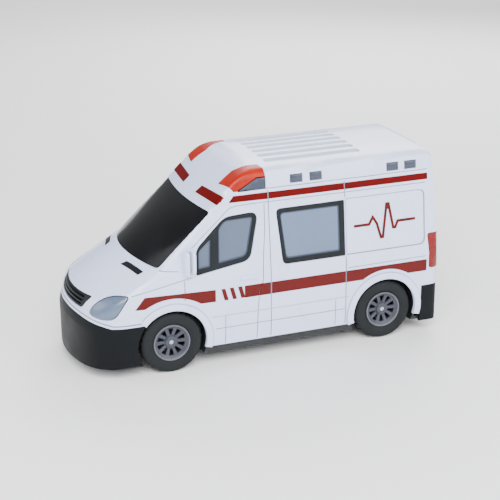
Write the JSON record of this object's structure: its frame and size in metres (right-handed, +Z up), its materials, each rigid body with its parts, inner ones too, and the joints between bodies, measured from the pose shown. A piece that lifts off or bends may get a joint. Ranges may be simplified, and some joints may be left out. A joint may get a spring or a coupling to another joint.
{
  "type": "toy ambulance van",
  "caption": "Battery toy ambulance van: moulded shell with corner beacons on a chassis tray, rolling wheels and a bump-and-turn drive turret underneath.",
  "frame": {"origin": "on the ground, under the middle of the van's length and width", "axes": "+X to the nose, +Y to the van's left, +Z up"},
  "size_m": [0.272, 0.117, 0.141],
  "materials": {
    "white_abs": "moulded, semi-gloss",
    "charcoal": "moulded, satin",
    "dark_screen": "gloss",
    "frosted_pane": "frosted",
    "beacon_red": "clear-tinted gloss",
    "reflector_grey": "satin",
    "marker_grey": "satin",
    "tail_red": "gloss",
    "tyre_rubber": "moulded",
    "drive_rubber": "moulded",
    "rim_grey": "satin",
    "steel": "drawn",
    "motor_can": "plated",
    "nylon": "moulded",
    "black_abs": "moulded, textured",
    "board_green": "coated",
    "cell_wrap": "printed wrap"
  },
  "bodies": {
    "van": {"body_shell": "white_abs", "mirror_left": "white_abs", "mirror_right": "white_abs", "front_bumper": "charcoal", "rear_bumper": "charcoal", "front_grille": "charcoal", "door_window_frame_left": "charcoal", "door_window_frame_right": "charcoal", "cabin_window_frame_left": "charcoal", "cabin_window_frame_right": "charcoal", "speaker": "charcoal", "switch_housing": "charcoal", "windscreen": "dark_screen", "rear_glass_left": "dark_screen", "rear_glass_right": "dark_screen", "door_glass_left": "frosted_pane", "door_glass_right": "frosted_pane", "cabin_glass_left": "frosted_pane", "cabin_glass_right": "frosted_pane", "headlight_lens_left": "frosted_pane", "headlight_lens_right": "frosted_pane", "beacon_lens_left": "beacon_red", "beacon_lens_right": "beacon_red", "beacon_reflector_left": "reflector_grey", "beacon_reflector_right": "reflector_grey", "marker_lens_left": "marker_grey", "marker_lens_right": "marker_grey", "tail_lamp_left": "tail_red", "tail_lamp_right": "tail_red", "contact_plate_front": "steel", "contact_plate_rear": "steel", "motor": "motor_can", "gearbox_cover": "nylon", "chassis": "black_abs", "circuit_board": "board_green", "battery_left": "cell_wrap", "battery_middle": "cell_wrap", "battery_right": "cell_wrap"},
    "front_wheels": {"front_axle": "steel", "tyre_front_left": "tyre_rubber", "tyre_front_right": "tyre_rubber", "rim_front_left": "rim_grey", "rim_front_right": "rim_grey"},
    "rear_wheels": {"rear_axle": "steel", "tyre_rear_left": "tyre_rubber", "tyre_rear_right": "tyre_rubber", "rim_rear_left": "rim_grey", "rim_rear_right": "rim_grey"},
    "turret": {"turret": "nylon"},
    "drive_wheels": {"drive_axle": "steel", "crown_gear": "nylon", "drive_wheel_left": "drive_rubber", "drive_wheel_right": "drive_rubber"},
    "drive_shaft": {"drive_shaft": "nylon"},
    "idler_gear": {"idler_gear": "nylon"},
    "motor_pinion": {"motor_pinion": "steel"},
    "battery_door": {"battery_door": "black_abs"},
    "power_switch": {"power_switch": "charcoal"}
  },
  "joints": [
    {"name": "front_wheels_spin", "type": "hinge", "parent": "van", "child": "front_wheels", "pos_m": [0.0715, 0, 0.0225], "axis": [0, 1, 0], "continuous": true},
    {"name": "rear_wheels_spin", "type": "hinge", "parent": "van", "child": "rear_wheels", "pos_m": [-0.0915, 0, 0.0225], "axis": [0, 1, 0], "continuous": true},
    {"name": "turret_swivel", "type": "hinge", "parent": "van", "child": "turret", "pos_m": [0.03, 0, 0.012], "axis": [0, 0, 1], "continuous": true},
    {"name": "drive_wheels_spin", "type": "hinge", "parent": "turret", "child": "drive_wheels", "pos_m": [0.03, 0, 0.009], "axis": [0, 1, 0], "continuous": true},
    {"name": "drive_shaft_spin", "type": "hinge", "parent": "van", "child": "drive_shaft", "pos_m": [0.03, 0, 0.03], "axis": [0, 0, 1], "continuous": true},
    {"name": "idler_gear_spin", "type": "hinge", "parent": "van", "child": "idler_gear", "pos_m": [0.03, 0.016, 0.03], "axis": [0, 0, 1], "continuous": true},
    {"name": "motor_spin", "type": "hinge", "parent": "van", "child": "motor_pinion", "pos_m": [0.014, 0.016, 0.03], "axis": [0, 0, 1], "continuous": true},
    {"name": "battery_door_hinge", "type": "hinge", "parent": "van", "child": "battery_door", "pos_m": [-0.0556, 0, 0.01], "axis": [0, 1, 0], "range_deg": [0, 80]},
    {"name": "power_switch_slide", "type": "slide", "parent": "van", "child": "power_switch", "axis": [1, 0, 0], "range_m": [0, 0.004]}
  ],
  "couplings": [
    {"joint": "idler_gear_spin", "follows": "drive_shaft_spin", "ratio": -3},
    {"joint": "motor_spin", "follows": "drive_shaft_spin", "ratio": 9},
    {"joint": "drive_wheels_spin", "follows": "drive_shaft_spin", "ratio": -0.66667}
  ]
}
